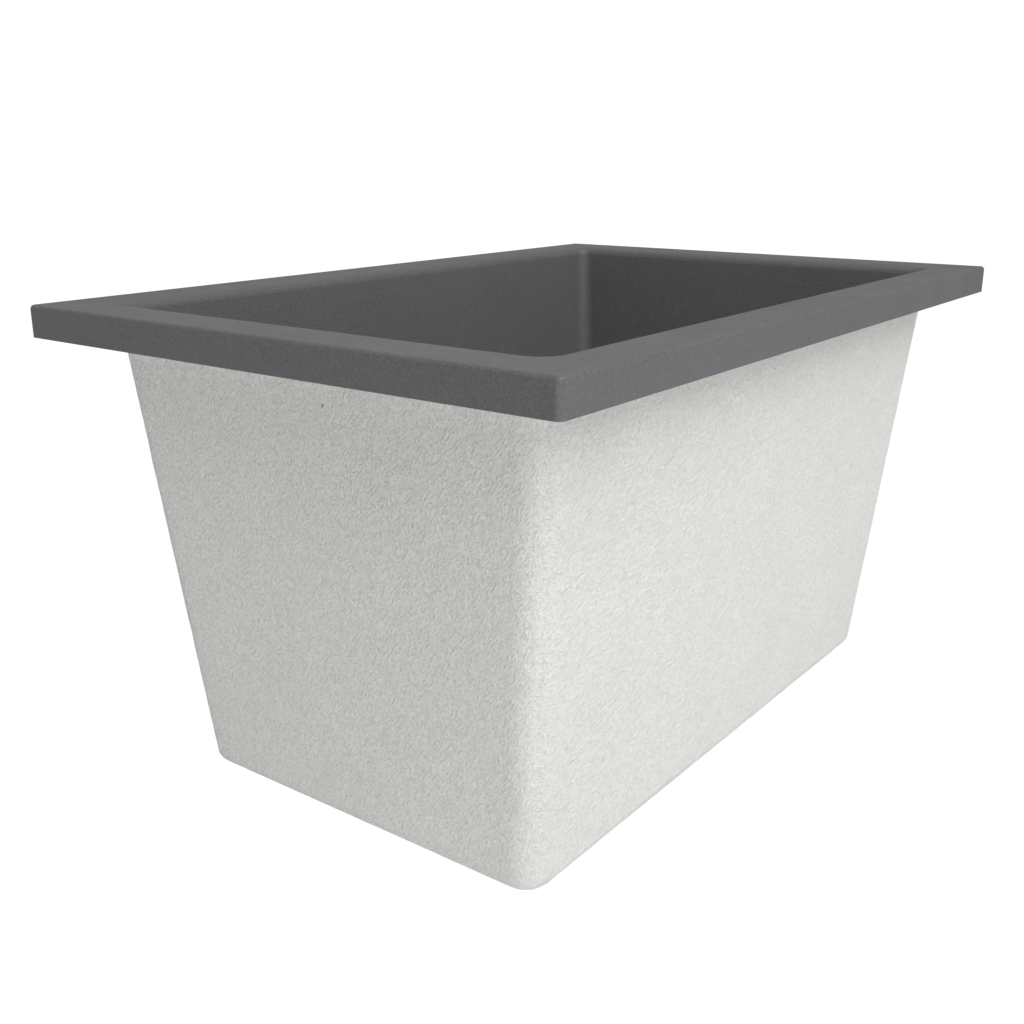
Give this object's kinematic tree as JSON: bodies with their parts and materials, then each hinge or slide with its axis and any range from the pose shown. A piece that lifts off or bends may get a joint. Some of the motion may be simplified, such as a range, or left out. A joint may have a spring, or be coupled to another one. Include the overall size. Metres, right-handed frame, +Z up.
{
  "type": "wash tub",
  "caption": "Deep drop-in resin wash tub with a turned-down rim, tapered walls, a rough glass-fibre back and a strainer drain with a lift-out basket.",
  "frame": {"origin": "centre of the seat plane, the lower edge of the rim lip that rests on a worktop", "axes": "+X along the long side, +Y across it, +Z up out of the tub; the drain is on the Z axis"},
  "size_m": [0.6, 0.4, 0.4239],
  "materials": {
    "liner_resin": "matte",
    "shell_laminate": "matte",
    "timber_board": "matte",
    "timber_batten": "matte",
    "stainless": "satin",
    "foam_rubber": "matte",
    "black_rubber": "matte",
    "fibre_washer": "matte",
    "nut_plastic": "satin",
    "pipe_plastic": "satin"
  },
  "bodies": {
    "tub": {"liner": "liner_resin", "outer_shell": "shell_laminate", "rim_cover": "shell_laminate", "base_board": "timber_board", "rim_batten_front": "timber_batten", "rim_batten_rear": "timber_batten", "rim_batten_left": "timber_batten", "rim_batten_right": "timber_batten", "strainer_body": "stainless", "flange_gasket": "foam_rubber", "clamp_gasket": "black_rubber", "friction_washer": "fibre_washer", "locknut": "nut_plastic", "tailpiece": "pipe_plastic", "tailpiece_washer": "black_rubber", "coupling_nut": "pipe_plastic"},
    "basket": {"basket": "stainless", "basket_stopper": "black_rubber", "basket_post": "stainless", "basket_knob": "stainless", "stopper_nut": "stainless"}
  },
  "joints": [
    {"name": "basket_lift", "type": "slide", "parent": "tub", "child": "basket", "axis": [0, 0, 1], "range_m": [0, 0.37]}
  ]
}
